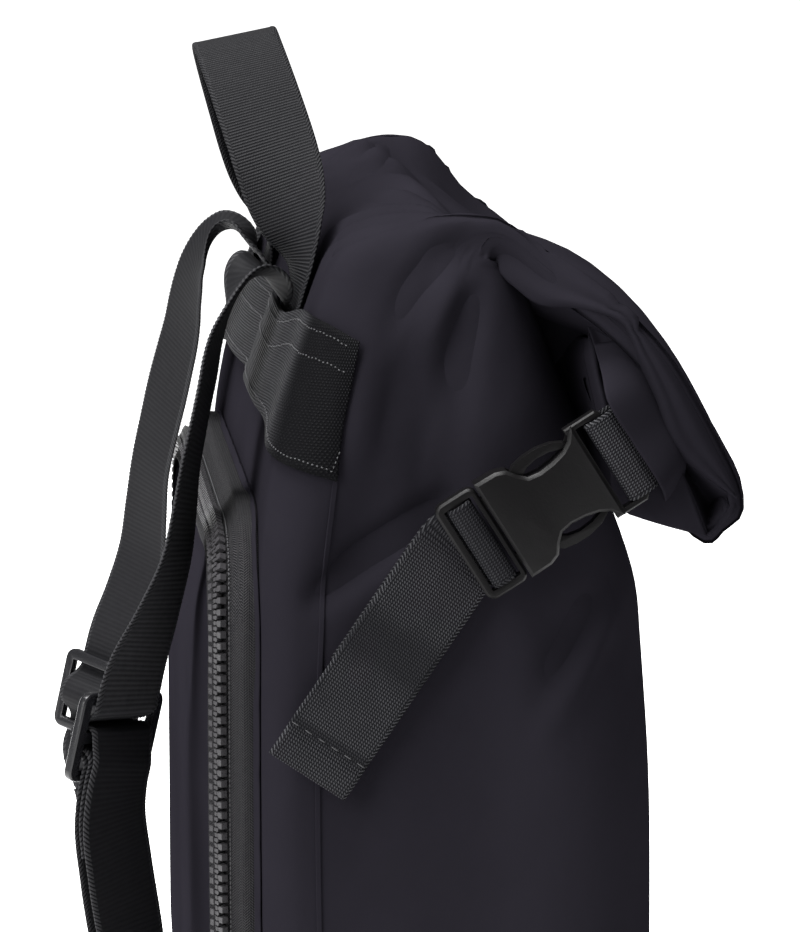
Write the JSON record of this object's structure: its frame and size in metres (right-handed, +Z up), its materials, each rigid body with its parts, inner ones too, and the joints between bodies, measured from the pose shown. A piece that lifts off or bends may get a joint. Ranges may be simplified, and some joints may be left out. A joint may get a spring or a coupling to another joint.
{
  "type": "roll-top backpack",
  "caption": "Roll-top backpack in coated fabric with a padded, zipped back panel, a webbing carry handle, webbing shoulder straps and side-release buckles that hold the roll down.",
  "frame": {"origin": "middle of the flat base that the bag stands on", "axes": "+Z up, X across the wearer's back with the wearer's left at -X, -Y the bag's front, +Y the wearer's side"},
  "size_m": [0.315, 0.2373, 0.4616],
  "materials": {
    "coated_fabric": "matte coated weave with a soft sheen",
    "zip_tape": "knitted tape",
    "zip_teeth": "moulded, semi-gloss",
    "band_webbing": "open basket weave",
    "webbing": "ribbed weave",
    "slider_plastic": "gloss",
    "buckle_plastic": "semi-matte faces, polished edges"
  },
  "bodies": {
    "root": {"bag_shell": "coated_fabric", "back_door": "coated_fabric", "zip_tape": "zip_tape", "zip_chain": "zip_teeth", "anchor_band": "band_webbing", "carry_handle": "webbing", "shoulder_strap_left": "webbing", "shoulder_strap_right": "webbing", "strap_slider_left": "slider_plastic", "strap_slider_right": "slider_plastic", "strap_ring_left": "slider_plastic", "strap_ring_right": "slider_plastic", "ring_tab_left": "webbing", "ring_tab_right": "webbing", "buckle_male_left": "buckle_plastic", "buckle_male_right": "buckle_plastic", "buckle_female_left": "buckle_plastic", "buckle_female_right": "buckle_plastic", "side_strap_left": "webbing", "side_strap_right": "webbing", "roll_tab_left": "webbing", "roll_tab_right": "webbing"}
  },
  "joints": []
}
